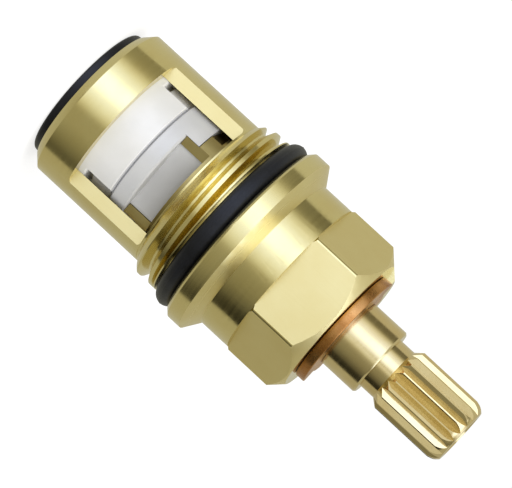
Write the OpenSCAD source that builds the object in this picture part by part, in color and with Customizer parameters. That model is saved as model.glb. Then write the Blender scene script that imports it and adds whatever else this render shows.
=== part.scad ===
// Quarter-turn ceramic disc tap cartridge.
// The axis is Z, the spindle points up, and the base seal stands on the XY plane.
// The spindle is drawn at its closed stop. A quarter turn to the left opens the water.

/* [Housing nose] */
// Diameter of the nose that drops into the tap body
nose_d = 18.8; // [17.6:0.1:20]
// Bore for the discs and the foot of the spindle
bore_d = 16.2; // [14.6:0.1:16.6]
// Height that the base seal stands out of the nose
seal_proud = 1; // [0.5:0.1:2]
// Chamfer round the open end of the nose
nose_chamfer = 0.95; // [0.3:0.05:1]

/* [Windows] */
// Height of the closed ring below the windows
window_start = 4.95; // [4:0.05:7]
// Length of each window along the axis
window_len = 10.1; // [8.5:0.05:13]
// Distance from the axis to the milled land of each window
window_land = 4.75; // [4:0.05:5.5]
// Corner radius of the milled pocket
window_corner = 0.6; // [0.2:0.05:1]
// Width that the pocket runs past each side of the land
pocket_spare = 0.08; // [0.02:0.02:0.3]
// Plain band between the windows and the thread
window_band = 0.2; // [0.2:0.05:1.5]

/* [Thread] */
// Outside diameter of the G 1/2 body thread
thread_d = 20.67; // [19.5:0.01:22]
// Length of the thread with its lead-in cone
thread_len = 3.45; // [2.6:0.05:6]

/* [Flange and neck] */
// Diameter of the flange
flange_d = 23; // [22:0.1:27]
// Thickness of the flange at its rim
flange_t = 2.15; // [1.4:0.05:4]
// Chamfer round the lower edge of the flange
flange_chamfer = 0.5; // [0.2:0.05:0.9]
// Length of the cone from the flange to the neck
cone_len = 1.3; // [0.6:0.05:3]
// Diameter of the round neck under the hexagon
neck_d = 19.1; // [17.5:0.1:20]
// Length of the neck from the cone to the hexagon
neck_len = 3.75; // [1.5:0.05:6]

/* [Hexagon and stop] */
// Spanner size across the flats
hex_af = 17; // [16:0.5:19]
// Length of the hexagon
hex_len = 7.1; // [6:0.05:10]
// Height of the cone that breaks the corners of the hexagon
hex_chamfer = 1.5; // [0.8:0.05:1.9]
// Turn of the spindle from closed to open, in degrees
travel = 90; // [60:5:120]
// Height of the raised stop on the end of the hexagon
stop_h = 1.05; // [0.6:0.05:1.1]
// Play left at each end of the turn, in degrees
stop_play = 1; // [0.5:0.5:3]

/* [Spindle] */
// Diameter of the stem that carries the seal rings
stem_d = 10; // [9.4:0.1:11]
// Diameter of the journal above the stem
journal_d = 8.2; // [7.8:0.1:8.8]
// Length of the journal's bearing in the hexagon
journal_seat = 3.5; // [2.5:0.1:4.5]
// Length of the journal above the hexagon
journal_proud = 5.8; // [4.5:0.1:9]
// Chamfer at the end of the journal
journal_chamfer = 0.2; // [0.1:0.05:0.4]
// Diameter of the undercut below the spline
undercut_d = 6.3; // [6:0.1:6.8]
// Length of the undercut
undercut_len = 1.8; // [0.8:0.1:4]

/* [Spline] */
// Diameter over the tips of the spline
spline_d = 7.7; // [7.5:0.05:8.4]
// Number of teeth
spline_teeth = 20; // [16:1:28]
// Depth of each tooth
tooth_depth = 0.55; // [0.3:0.05:0.6]
// Width of the flat on each tooth tip
tooth_tip = 0.14; // [0.08:0.02:0.3]
// Angle of one tooth tip from the X axis, in degrees
spline_phase = 5; // [0:1:17]
// Length of the spline with both its ends
spline_len = 9.4; // [7:0.1:14]
// Height of the cone at the start of the spline
spline_cone = 0.85; // [0.4:0.05:1.5]
// Radius that rounds the end of the spline
spline_round = 0.85; // [0.3:0.05:1.1]
// Drilling for the handle screw, tapped M5
screw_hole_d = 4.2; // [3.3:0.1:4.4]
// Depth of the drilling
screw_hole_depth = 11; // [6:0.5:14]

/* [Foot and fork] */
// Thickness of the foot
foot_t = 2.4; // [1.2:0.1:3]
// Height of the foot's edge that shows in the windows
foot_drop = 0.65; // [0.3:0.05:1.2]
// Open width between the two prongs
fork_gap = 8.4; // [7:0.1:8.6]
// Thickness of each prong at its end
prong_t = 1.05; // [0.7:0.05:1.3]
// Thickness of each prong where it leaves the foot
root_t = 2.4; // [1.4:0.05:3]
// Length of each prong across the cartridge
prong_len = 11; // [8:0.1:11]
// Turn of the fork from the windows at the closed stop, in degrees
fork_turn = 15; // [0:1:30]

/* [Ceramic discs] */
// Height of the sealing face above the lower edge of the windows
face_rise = 4.2; // [3:0.01:5]
// Thickness of the fixed disc
fixed_t = 5; // [4:0.05:6.5]
// Height of the full round rim at the bottom of the fixed disc
rim_t = 1.62; // [1.1:0.02:2]
// Half width of the pad that fills each window
pad_half = 5.8; // [5:0.05:6.2]
// Step from each pad back to the side of the disc
pad_step = 0.9; // [0.5:0.05:1.2]
// Height of the relief groove at the foot of that step
notch_h = 0.65; // [0.3:0.05:1]
// Depth of the relief groove
notch_depth = 0.7; // [0.3:0.05:1]
// Thickness of the moving disc under its lugs and its block
plate_t = 2.05; // [1.8:0.02:3]
// Gap from the two lugs on the moving disc up to the foot
lug_gap = 1.5; // [0.8:0.05:1.9]
// Distance from the ends of the prongs back to the block between them
block_set = 0.2; // [0.1:0.05:0.6]
// Height of the two scoops that lead the water out under the moving disc
scoop_h = 1.3; // [0.8:0.05:1.5]
// Edge break on the ceramic
ceramic_edge = 0.2; // [0.05:0.01:0.3]
// Inner radius of the water ports
port_in = 2.2; // [1.5:0.1:3.2]
// Ledge between the outer edge of the ports and the bore of the base seal
port_margin = 0.2; // [0.1:0.05:0.8]
// Width of each port and scoop round the axis, in degrees
port_angle = 64; // [50:1:78]
// Width of the keys that stop the fixed disc from turning
key_w = 2.2; // [1.4:0.1:3.5]

/* [Seals] */
// Section of the body seal ring
body_ring_cs = 2.2; // [1.8:0.05:2.6]
// Outside diameter of the body seal ring
body_ring_d = 22.1; // [21.6:0.1:23]
// Section of the two spindle seal rings
stem_ring_cs = 1.8; // [1.4:0.05:2.2]
// Distance between the two spindle seal rings
stem_ring_pitch = 5; // [3.5:0.1:6]
// Height of the lower spindle seal ring above the shoulder of the bore
stem_ring_rise = 4; // [2:0.1:5]
// Rubber of the base seal outside its support ring
seal_wall = 1.05; // [0.6:0.05:1.6]
// Thickness of each lip of the base seal
seal_lip_t = 0.95; // [0.6:0.05:1.3]
// Edge radius of the base seal
seal_edge = 0.4; // [0.1:0.05:0.6]
// Wall of the support ring inside the base seal
support_wall = 0.9; // [0.5:0.05:1.1]

/* [Clip and washer] */
// Outside diameter of the retaining clip
clip_d = 13.7; // [13:0.1:14.2]
// Thickness of the retaining clip
clip_t = 1.15; // [0.8:0.05:1.5]
// Width across the flats that the clip slides on to
clip_flats = 6.4; // [5.6:0.1:7]
// Reach of the clip's two jaws past the axis
clip_reach = 2.6; // [1.5:0.1:3.2]
// Wall of each jaw at its widest
clip_jaw = 2.2; // [1.4:0.1:2.4]
// Thickness of the friction washer above the foot
washer_t = 0.8; // [0.5:0.05:1.2]

/* [Clearances] */
// Running clearance of a turning fit, on the radius
run_gap = 0.05; // [0.02:0.01:0.08]
// Clearance of a seal ring at its bore or groove, on the radius
ring_gap = 0.02; // [0:0.01:0.05]
// Clearance of the moving disc and the foot in the bore, on the radius
disc_gap = 0.45; // [0.4:0.05:0.6]
// Gap from the block and the lugs up to the spindle
foot_gap = 0.1; // [0.05:0.05:0.3]
// Clearance of loose and sliding seats
seat_gap = 0.05; // [0.02:0.01:0.1]
// Spare length of a seal ring's groove
groove_play = 0.3; // [0.1:0.05:0.6]
// Gap between the stem and the step at the top of its bore
step_gap = 0.3; // [0.1:0.05:0.6]
// Gap between the jaws of the clip and the raised stop
jaw_gap = 0.3; // [0.1:0.05:0.5]

/* [Hidden] */
$fn = 96;

brass = "#b9a868";
bright_brass = "#c4b271";
copper = "#9a5c30";
rubber = "#1d1e21";
white_ceramic = "#f0f0ee";
grey_ceramic = "#d9d9da";
white_plastic = "#e8e5db";

// Extra length of a cutting shape, so that no two faces coincide
over = 0.5;

// Radii of the housing
nose_r = nose_d / 2;
bore_r = bore_d / 2;
thread_r = thread_d / 2;
flange_r = flange_d / 2;
neck_r = neck_d / 2;
hex_r = hex_af / 2 / cos(30);
end_r = hex_r - hex_chamfer;
gland_r = body_ring_d / 2 - body_ring_cs;
nose_wall = nose_r - bore_r;

// Radii inside the bore
seat_r = bore_r - seat_gap;
disc_r = bore_r - disc_gap;
key_r = disc_r + 2 * seat_gap;
step_r = seat_r - pad_step;
stem_r = stem_d / 2;
stem_bore_r = stem_r + run_gap;
stem_groove_r = stem_bore_r - 2 * ring_gap - stem_ring_cs;
journal_r = journal_d / 2;
journal_bore_r = journal_r + run_gap;
undercut_r = undercut_d / 2;
spline_r = spline_d / 2;
support_r = seat_r - seal_wall;
lip_r = support_r - support_wall;
port_out = lip_r - port_margin;
clip_r = clip_d / 2;
clip_slot = clip_flats + 2 * seat_gap;
jaw_r = clip_slot / 2 + clip_jaw;
stop_r = jaw_r + jaw_gap;

// Heights of the housing
z_nose = seal_proud;
z_window = z_nose + window_start;
z_window_top = z_window + window_len;
z_thread = z_window_top + window_band;
z_gland = z_thread + thread_len;
z_flange = z_gland + body_ring_cs + groove_play;
z_cone = z_flange + flange_t;
z_neck = z_cone + cone_len;
z_hex = z_neck + neck_len;
z_end = z_hex + hex_len;

// Heights of the discs and the spindle
z_face = z_window + face_rise;
z_fixed = z_face - fixed_t;
z_rim = z_fixed + rim_t;
z_plate = z_face + plate_t;
z_foot = z_window_top - foot_drop;
z_lug = z_foot - lug_gap;
z_foot_top = z_foot + foot_t;
z_shoulder = z_foot_top + washer_t;
z_step = z_end - journal_seat;
z_stem_top = z_step - step_gap;
z_clip = z_end + seat_gap;
z_clip_top = z_clip + clip_t;
z_journal = z_end + journal_proud;
z_spline = z_journal + undercut_len;
z_tip = z_spline + spline_len;
z_ring_lower = z_shoulder + stem_ring_rise;
z_ring_upper = z_ring_lower + stem_ring_pitch;

// A ring of round section, lying flat at height z
module seal_ring(outside_r, section, z) {
    translate([0, 0, z])
        rotate_extrude()
            translate([outside_r - section / 2, 0])
                circle(d = section);
}

// A plain ring between two radii
module flat_ring(inside_r, outside_r, z_low, z_high) {
    translate([0, 0, z_low])
        difference() {
            cylinder(r = outside_r, h = z_high - z_low);
            translate([0, 0, -over])
                cylinder(r = inside_r, h = z_high - z_low + 2 * over);
        }
}

// A disc with its two outer edges broken
module edged_disc(r, z_low, z_high, edge) {
    rotate_extrude()
        polygon([
            [0, z_low], [r - edge, z_low], [r, z_low + edge],
            [r, z_high - edge], [r - edge, z_high], [0, z_high]
        ]);
}

// A square with rounded corners, centred on the origin
module rounded_square(width, height, corner) {
    square([width, height - 2 * corner], center = true);
    square([width - 2 * corner, height], center = true);
    for (x = [-1, 1], y = [-1, 1])
        translate([x * (width / 2 - corner), y * (height / 2 - corner)])
            circle(r = corner);
}

// Two opposite sectors of a ring, for the ways of the water
module waterways(first, outside_r, z_low, z_high) {
    for (side = [0, 180])
        rotate([0, 0, first + side - port_angle / 2])
            rotate_extrude(angle = port_angle)
                translate([port_in, z_low])
                    square([outside_r - port_in, z_high - z_low]);
}

// A block that lies across the cartridge and is turned with the fork
module fork_block(middle, width, length, z_low, z_high) {
    rotate([0, 0, fork_turn])
        translate([middle - width / 2, -length / 2, z_low])
            cube([width, length, z_high - z_low]);
}

// The outside of the housing below the hexagon, as it comes off the lathe
module housing_turned() {
    rotate_extrude()
        polygon([
            [0, z_nose], [nose_r - nose_chamfer, z_nose], [nose_r, z_nose + nose_chamfer],
            [nose_r, z_thread], [thread_r, z_thread + thread_r - nose_r],
            [thread_r, z_gland], [gland_r, z_gland], [gland_r, z_flange],
            [flange_r - flange_chamfer, z_flange], [flange_r, z_flange + flange_chamfer],
            [flange_r, z_cone], [neck_r, z_neck], [neck_r, z_hex], [0, z_hex]
        ]);
}

// The hexagon with its corners broken by a cone, up to the top of the stop
module housing_hex() {
    z_stop = z_end + stop_h;
    intersection() {
        translate([0, 0, z_hex - over])
            cylinder(r = hex_r, h = z_stop + over - z_hex, $fn = 6);
        rotate_extrude()
            polygon([
                [0, z_hex - over], [hex_r, z_hex - over], [hex_r, z_end - hex_chamfer],
                [end_r - stop_h, z_stop], [0, z_stop]
            ]);
    }
}

// What is turned off the end of the hexagon, so that only a raised sector stays.
// The clip runs against that sector at each end of its turn.
module beside_stop() {
    first = travel + stop_play;
    last = 180 - stop_play;
    far = 2 * hex_r;
    translate([0, 0, z_end])
        linear_extrude(height = stop_h + over)
            difference() {
                circle(r = far);
                difference() {
                    polygon([
                        [0, 0],
                        for (angle = [first, (first + last) / 2, last])
                            2 * far * [cos(angle), sin(angle)]
                    ]);
                    circle(r = stop_r);
                }
            }
}

// One milled window, as a pocket that opens towards -Y
module window_pocket() {
    pocket_w = 2 * (sqrt(pow(nose_r, 2) - pow(window_land, 2)) + pocket_spare);
    translate([0, -window_land, (z_window + z_window_top) / 2])
        rotate([90, 0, 0])
            linear_extrude(height = nose_r)
                rounded_square(pocket_w, window_len, window_corner);
}

// The two keys in the bore that hold the fixed disc
module disc_keys(width, inside_r, z_low, z_high) {
    for (side = [0, 180])
        rotate([0, 0, side])
            translate([inside_r, -width / 2, z_low])
                cube([nose_r - inside_r - nose_wall / 2, width, z_high - z_low]);
}

module housing() {
    color(brass) {
        difference() {
            union() {
                housing_turned();
                housing_hex();
            }
            beside_stop();
            translate([0, 0, z_nose - over])
                cylinder(r = bore_r, h = z_shoulder - z_nose + over);
            translate([0, 0, z_shoulder - over])
                cylinder(r = stem_bore_r, h = z_step - z_shoulder + over);
            translate([0, 0, z_step - over])
                cylinder(r = journal_bore_r, h = journal_seat + 2 * over);
            for (side = [0, 180])
                rotate([0, 0, side])
                    window_pocket();
        }
        disc_keys(key_w, key_r, z_fixed + seat_gap, z_rim);
    }
}

// Outline of a ring of teeth, from sharp points to V roots
function tooth_points(count, point_r, root_r) = [
    for (i = [0 : count - 1])
        each [
            point_r * [cos(i * 360 / count), sin(i * 360 / count)],
            root_r * [cos((i + 0.5) * 360 / count), sin((i + 0.5) * 360 / count)]
        ]
];

// What is cut away between the teeth of the spline
module tooth_gaps() {
    root_r = spline_r - tooth_depth;
    root_half = root_r * sin(180 / spline_teeth);
    root_mid = root_r * cos(180 / spline_teeth);
    // The flanks of a tooth meet at this radius, which leaves the tip its width
    point_r = (root_half * spline_r - root_mid * tooth_tip / 2) / (root_half - tooth_tip / 2);
    translate([0, 0, z_spline - undercut_len / 2])
        linear_extrude(height = spline_len + undercut_len)
            difference() {
                circle(r = 2 * spline_r);
                rotate(spline_phase)
                    polygon(tooth_points(spline_teeth, point_r, root_r));
            }
}

// The spindle as it comes off the lathe, from the foot to the end of the spline
module spindle_turned() {
    groove_half = (stem_ring_cs + groove_play) / 2;
    rotate_extrude()
        difference() {
            polygon([
                [0, z_foot], [disc_r, z_foot], [disc_r, z_foot_top], [stem_r, z_foot_top],
                for (z = [z_ring_lower, z_ring_upper])
                    each [
                        [stem_r, z - groove_half], [stem_groove_r, z - groove_half],
                        [stem_groove_r, z + groove_half], [stem_r, z + groove_half]
                    ],
                [stem_r, z_stem_top], [journal_r, z_stem_top],
                [journal_r, z_journal - journal_chamfer], [journal_r - journal_chamfer, z_journal],
                [undercut_r, z_journal], [undercut_r, z_spline],
                [spline_r, z_spline + spline_cone], [spline_r, z_tip], [0, z_tip]
            ]);
            // The end of the spline is rounded
            translate([spline_r - spline_round, z_tip - spline_round])
                difference() {
                    square(spline_round + over);
                    circle(r = spline_round);
                }
        }
}

// The two prongs that reach down into the slots of the moving disc, with their thicker roots
module fork() {
    z_prong = z_plate + seat_gap;
    intersection() {
        translate([0, 0, z_prong])
            cylinder(r = disc_r, h = z_foot_top - z_prong);
        for (side = [-1, 1]) {
            fork_block(side * (fork_gap + prong_t) / 2, prong_t, prong_len, z_prong, z_foot + over);
            fork_block(side * (fork_gap + root_t) / 2, root_t, prong_len, z_lug + foot_gap, z_foot + over);
        }
    }
}

module spindle() {
    color(bright_brass)
    difference() {
        union() {
            spindle_turned();
            fork();
        }
        tooth_gaps();
        // Two flats for the retaining clip
        for (side = [-1, 1])
            translate([side * (clip_flats + journal_d) / 2, 0, (z_clip + z_clip_top) / 2])
                cube([journal_d, journal_d + over, clip_t + 2 * seat_gap], center = true);
        translate([0, 0, z_tip - screw_hole_depth])
            cylinder(d = screw_hole_d, h = screw_hole_depth + over);
    }
}

// A disc with a block between the prongs, a lug outside each of them, and two scoops underneath.
// Turned to open, the scoops lie over the ports of the fixed disc and face the windows.
module moving_disc() {
    lug_in = fork_gap / 2 + prong_t + seat_gap;
    z_middle = z_face + plate_t / 2;
    color(grey_ceramic)
    difference() {
        union() {
            edged_disc(disc_r, z_face, z_plate, ceramic_edge);
            fork_block(0, fork_gap - 2 * seat_gap, prong_len - 2 * block_set, z_middle, z_foot - foot_gap);
            intersection() {
                translate([0, 0, z_middle])
                    cylinder(r = disc_r, h = z_lug - z_middle);
                for (side = [-1, 1])
                    fork_block(side * (lug_in + disc_r / 2), disc_r, 2 * disc_r, z_middle, z_lug + over);
            }
        }
        waterways(0, disc_r + over, z_face - over, z_face + scoop_h);
    }
}

module fixed_disc() {
    color(white_ceramic)
    difference() {
        union() {
            edged_disc(seat_r, z_fixed, z_rim, ceramic_edge);
            edged_disc(step_r, z_rim - over, z_face, ceramic_edge);
            intersection() {
                edged_disc(seat_r, z_rim - over, z_face, ceramic_edge);
                translate([0, 0, (z_rim + z_face) / 2])
                    cube([2 * pad_half, 2 * bore_r, z_face - z_rim + 2 * over], center = true);
            }
        }
        // Relief groove at the foot of the step, on both sides of the pads
        difference() {
            flat_ring(step_r - notch_depth, bore_r, z_rim, z_rim + notch_h);
            translate([-pad_half, -bore_r, z_rim - over])
                cube([2 * pad_half, bore_d, notch_h + 2 * over]);
        }
        disc_keys(key_w + 2 * seat_gap, key_r - seat_gap, z_fixed - over, z_rim + seat_gap);
        waterways(90, port_out, z_fixed - over, z_face + over);
    }
}

module base_seal() {
    seal_h = z_fixed;
    color(rubber)
    difference() {
        rotate_extrude()
            difference() {
                translate([lip_r, 0])
                    square([seat_r - lip_r, seal_h]);
                // The lower outer edge is rounded
                translate([seat_r - seal_edge, -over])
                    difference() {
                        square([seal_edge + over, seal_edge + over]);
                        translate([0, seal_edge + over])
                            circle(r = seal_edge);
                    }
            }
        translate([0, 0, seal_lip_t])
            cylinder(r = support_r + seat_gap, h = seal_h - 2 * seal_lip_t);
    }
}

module seal_support_ring() {
    color(white_plastic)
        flat_ring(lip_r, support_r, seal_lip_t + seat_gap, z_fixed - seal_lip_t - seat_gap);
}

module body_oring() {
    color(rubber)
        seal_ring(body_ring_d / 2 + ring_gap, body_ring_cs, z_flange - body_ring_cs / 2 - ring_gap);
}

module spindle_oring_lower() {
    color(rubber)
        seal_ring(stem_bore_r - ring_gap, stem_ring_cs, z_ring_lower);
}

module spindle_oring_upper() {
    color(rubber)
        seal_ring(stem_bore_r - ring_gap, stem_ring_cs, z_ring_upper);
}

module friction_washer() {
    color(white_plastic)
        flat_ring(stem_bore_r, disc_r, z_foot_top, z_shoulder);
}

// Half of a round plate with two jaws that reach past the axis
module retaining_clip() {
    color(copper)
    translate([0, 0, z_clip])
        linear_extrude(height = clip_t)
            difference() {
                union() {
                    intersection() {
                        circle(r = clip_r);
                        translate([-clip_r, -clip_d])
                            square([clip_d, clip_d]);
                    }
                    intersection() {
                        circle(r = jaw_r);
                        translate([-clip_r, -clip_r])
                            square([clip_d, clip_r + clip_reach]);
                    }
                }
                intersection() {
                    circle(r = journal_bore_r);
                    square([clip_slot, clip_d], center = true);
                }
                translate([-clip_slot / 2, 0])
                    square([clip_slot, clip_d]);
            }
}

housing();
spindle();
moving_disc();
fixed_disc();
base_seal();
seal_support_ring();
body_oring();
spindle_oring_lower();
spindle_oring_upper();
friction_washer();
retaining_clip();
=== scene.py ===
# %% [markdown]
# # A ceramic disc tap cartridge
#
# This lesson dresses a tap cartridge: the brass insert that opens and closes the water in a
# quarter-turn tap. The solids come from the CAD model and already have the right size and place.
# Blender adds what a solid lacks: the screw threads, the broken edges, and the finish of turned
# brass, ground ceramic, moulded rubber and stamped bronze.

# %% Load the fixed frame
import math

import bmesh
import bpy
from mathutils import Matrix, Vector


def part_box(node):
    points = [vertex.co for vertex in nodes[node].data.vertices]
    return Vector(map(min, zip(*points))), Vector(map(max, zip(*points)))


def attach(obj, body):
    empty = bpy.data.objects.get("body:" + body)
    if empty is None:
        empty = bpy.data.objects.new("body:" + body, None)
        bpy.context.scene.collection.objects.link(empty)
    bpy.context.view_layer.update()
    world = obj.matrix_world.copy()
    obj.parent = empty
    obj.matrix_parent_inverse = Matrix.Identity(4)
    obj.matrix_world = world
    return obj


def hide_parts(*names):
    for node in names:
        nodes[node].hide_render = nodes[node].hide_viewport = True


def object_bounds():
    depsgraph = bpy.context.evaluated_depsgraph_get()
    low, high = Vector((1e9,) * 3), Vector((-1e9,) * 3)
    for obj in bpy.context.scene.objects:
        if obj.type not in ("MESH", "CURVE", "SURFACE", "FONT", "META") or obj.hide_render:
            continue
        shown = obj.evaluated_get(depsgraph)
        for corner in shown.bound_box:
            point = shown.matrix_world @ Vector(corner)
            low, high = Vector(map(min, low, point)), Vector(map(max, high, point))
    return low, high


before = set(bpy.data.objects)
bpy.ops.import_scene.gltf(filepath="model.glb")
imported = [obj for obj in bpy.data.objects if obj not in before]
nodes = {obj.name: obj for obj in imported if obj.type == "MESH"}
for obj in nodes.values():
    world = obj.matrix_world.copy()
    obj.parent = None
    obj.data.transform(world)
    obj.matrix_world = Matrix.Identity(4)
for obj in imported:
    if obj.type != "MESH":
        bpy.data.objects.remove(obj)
cad_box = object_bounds()
scene = bpy.context.scene
MM = 0.001   # sizes are written in millimetres, and Blender's unit is the metre
print("pieces in the frame:", ", ".join(sorted(nodes)))

# %% [markdown]
# ## Camera
#
# The photograph looks at the side of the cartridge from about a third of a metre, slightly from the
# spindle's end. The picture is also rolled: the spindle points to the lower right. The camera could
# be turned by hand until it fits. Here its three axes are worked out instead, from the viewing
# height, the roll and the one point of the axis whose pixel is known.

# %% Set the camera
IMAGE_W, IMAGE_H = 512, 488
SENSOR = 36.0
DISTANCE = 330 * MM
PIXELS_PER_MM = 9.573   # on the axis of the part
ELEVATION = math.radians(7.0)
ROLL = math.radians(132.7)
AXIS_POINT = Vector((0, 0, 23.26 * MM))
AXIS_PIXEL = (247.1, 239.7)

level_right = Vector((1, 0, 0))
level_up = Vector((0, math.sin(ELEVATION), math.cos(ELEVATION)))
backward = level_right.cross(level_up)
right = math.cos(ROLL) * level_right + math.sin(ROLL) * level_up
up = math.cos(ROLL) * level_up - math.sin(ROLL) * level_right

metres_per_pixel = MM / PIXELS_PER_MM
aim = AXIS_POINT
aim = aim + right * (IMAGE_W / 2 - AXIS_PIXEL[0]) * metres_per_pixel
aim = aim - up * (IMAGE_H / 2 - AXIS_PIXEL[1]) * metres_per_pixel

camera_data = bpy.data.cameras.new("camera")
camera_data.sensor_width = SENSOR
camera_data.lens = SENSOR / IMAGE_W * DISTANCE / metres_per_pixel
camera_data.clip_start = 10 * MM
camera_data.clip_end = 100
camera = bpy.data.objects.new("camera", camera_data)
scene.collection.objects.link(camera)
turn = Matrix((right, up, backward)).transposed().to_4x4()
camera.matrix_world = Matrix.Translation(aim + backward * DISTANCE) @ turn
scene.camera = camera
print("lens", round(camera_data.lens), "mm")

# %% [markdown]
# ## Three small tools
#
# Colours are picked as sRGB hex values, as in any paint program, but a shader works with linear
# light, so one function converts them. A second function adds a node to a tree, sets it and links
# it, so that a whole material reads as a short list. A third gives a texture the right scale.

# %% Colour and node tools
MIX_A, MIX_B, MIX_RESULT = 6, 7, 2   # the sockets of a Mix node that hold colours


def linear(hex_colour):
    """An sRGB hex colour as linear RGBA."""
    parts = [int(hex_colour[i:i + 2], 16) / 255 for i in (1, 3, 5)]
    return [c / 12.92 if c <= 0.04045 else ((c + 0.055) / 1.055) ** 2.4 for c in parts] + [1.0]


def add(tree, kind, *links, **settings):
    """Adds a node. Each link is (input, value or socket or node); settings are its properties."""
    made = tree.nodes.new(kind)
    for name, value in settings.items():
        setattr(made, name, value)
    for socket, source in links:
        if isinstance(source, bpy.types.Node):
            source = source.outputs[0]
        if isinstance(source, bpy.types.NodeSocket):
            tree.links.new(source, made.inputs[socket])
        else:
            made.inputs[socket].default_value = source
    return made


def per_size(size_mm):
    """The texture scale at which one cell of a pattern is this many millimetres wide."""
    return 1 / (size_mm * MM)


print("white is", linear("#ffffff"))

# %% [markdown]
# ## Brass
#
# The housing is free-cutting brass straight off the machine: bright, pale and a little green, with
# rings left by the lathe and straight lines left by the milling cutter. A plain metal shader would
# look like plastic foil. Here noise that runs round the axis moves the roughness and the bump. A
# face attribute called "milled" swaps the rings for straight lines in the bump of the flats, and
# one called "dull" makes the flats and the short cones rougher than the cylinders, with a tone of
# their own: paler on the clean hexagon, and darker on the fork, where the darker tone is painted
# shade.

# %% Turned brass for the housing and the spindle
NOISE_LOW, NOISE_HIGH = 0.3, 0.7     # most of a noise texture lies between these values
TURNING_PITCH = 0.32   # real feed marks are near 0.1 mm, drawn coarser so that they show
MILLED_LINE = 0.25     # width of the lines on the flats, drawn coarser too
MILLED_STRETCH = 0.04  # they are 25 times as long as they are wide
MARK_DEPTH = 0.012     # depth of the rings and lines
MARK_STRENGTH = 0.35
TARNISH_PATCH = 5.0    # size of the soft colour patches
BRASS_STOPS = (0.35, 0.7)
DULL_ROUGHNESS = 0.42  # the flats and cones are duller than the turned cylinders


def turned_brass(name, turned_tones, dull_tones, smooth, dull):
    """Brass with tool rings: tones of its turned and dull faces, least and most roughness of a ring."""
    material = bpy.data.materials.new(name)
    material.use_nodes = True
    tree = material.node_tree
    shader = tree.nodes["Principled BSDF"]
    shader.inputs["Metallic"].default_value = 1.0

    place = add(tree, "ShaderNodeTexCoord").outputs["Object"]
    axes = add(tree, "ShaderNodeSeparateXYZ", (0, place))
    flat = add(tree, "ShaderNodeCombineXYZ", ("X", axes.outputs["X"]), ("Y", axes.outputs["Y"]))
    radius = add(tree, "ShaderNodeVectorMath", (0, flat), operation="LENGTH").outputs["Value"]
    ring_place = add(tree, "ShaderNodeCombineXYZ", ("X", radius), ("Z", axes.outputs["Z"]))
    rings = add(tree, "ShaderNodeTexNoise", ("Vector", ring_place),
                ("Scale", per_size(TURNING_PITCH)), ("Detail", 3.0), ("Roughness", 0.6))
    stretched = add(tree, "ShaderNodeMapping", ("Vector", place), ("Scale", (1.0, 1.0, MILLED_STRETCH)))
    lines = add(tree, "ShaderNodeTexNoise", ("Vector", stretched),
                ("Scale", per_size(MILLED_LINE)), ("Detail", 2.0), ("Roughness", 0.5))
    milled = add(tree, "ShaderNodeAttribute", attribute_name="milled").outputs["Fac"]
    marks = add(tree, "ShaderNodeMix", ("Factor", milled), ("A", rings), ("B", lines),
                data_type="FLOAT")
    patches = add(tree, "ShaderNodeTexNoise", ("Vector", place),
                  ("Scale", per_size(TARNISH_PATCH)), ("Detail", 4.0), ("Roughness", 0.55))

    dulled = add(tree, "ShaderNodeAttribute", attribute_name="dull").outputs["Fac"]
    ramps = []
    for tones in (turned_tones, dull_tones):
        ramp = add(tree, "ShaderNodeValToRGB", ("Fac", patches))
        for stop, position, colour in zip(ramp.color_ramp.elements, BRASS_STOPS, tones):
            stop.position = position
            stop.color = linear(colour)
        ramps.append(ramp)
    tone = add(tree, "ShaderNodeMix", ("Factor", dulled), (MIX_A, ramps[0]), (MIX_B, ramps[1]),
               data_type="RGBA")
    ring_gloss = add(tree, "ShaderNodeMapRange", ("Value", rings), ("From Min", NOISE_LOW),
                     ("From Max", NOISE_HIGH), ("To Min", smooth), ("To Max", dull))
    gloss = add(tree, "ShaderNodeMix", ("Factor", dulled), ("A", ring_gloss), ("B", DULL_ROUGHNESS),
                data_type="FLOAT")
    bump = add(tree, "ShaderNodeBump", ("Height", marks), ("Strength", MARK_STRENGTH),
               ("Distance", MARK_DEPTH * MM))
    tree.links.new(tone.outputs[MIX_RESULT], shader.inputs["Base Color"])
    tree.links.new(gloss.outputs[0], shader.inputs["Roughness"])
    tree.links.new(bump.outputs["Normal"], shader.inputs["Normal"])
    return material


# Free-cutting brass: pale greenish gold with soft rings of light.
housing_brass = turned_brass("free_cutting_brass_turned", ("#e0d296", "#dbca8a"),
                             ("#e9d99b", "#e5d392"), 0.1, 0.2)
# The spindle's brass is a little redder. Its spline was rolled bright; the darker tone of its fork and foot
# is painted shade.
spindle_brass = turned_brass("free_cutting_brass_bright", ("#dfcd99", "#d7bf85"),
                             ("#b3a26a", "#a08c55"), 0.1, 0.18)
print("made", housing_brass.name, "and", spindle_brass.name)

# %% [markdown]
# ## Ceramic, rubber, plastic and bronze
#
# The discs are ground alumina: nearly white, matt, with a very fine grain. The seal rings are
# nitrile rubber, moulded satin black. The ring inside the base seal and the washer are moulded
# acetal. The clip is stamped phosphor bronze with a brown tarnish. All of them share one recipe:
# a base tone that drifts, a fine grain for the bump, and a roughness that follows the grain.

# %% Recipes of the small pieces
GRAIN_STOPS = (0.35, 0.65)
GRAIN_STRENGTH = 0.3
JOINT_SHADE_CORE = 0.6       # share of the band of painted shade that has the full colour


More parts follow.
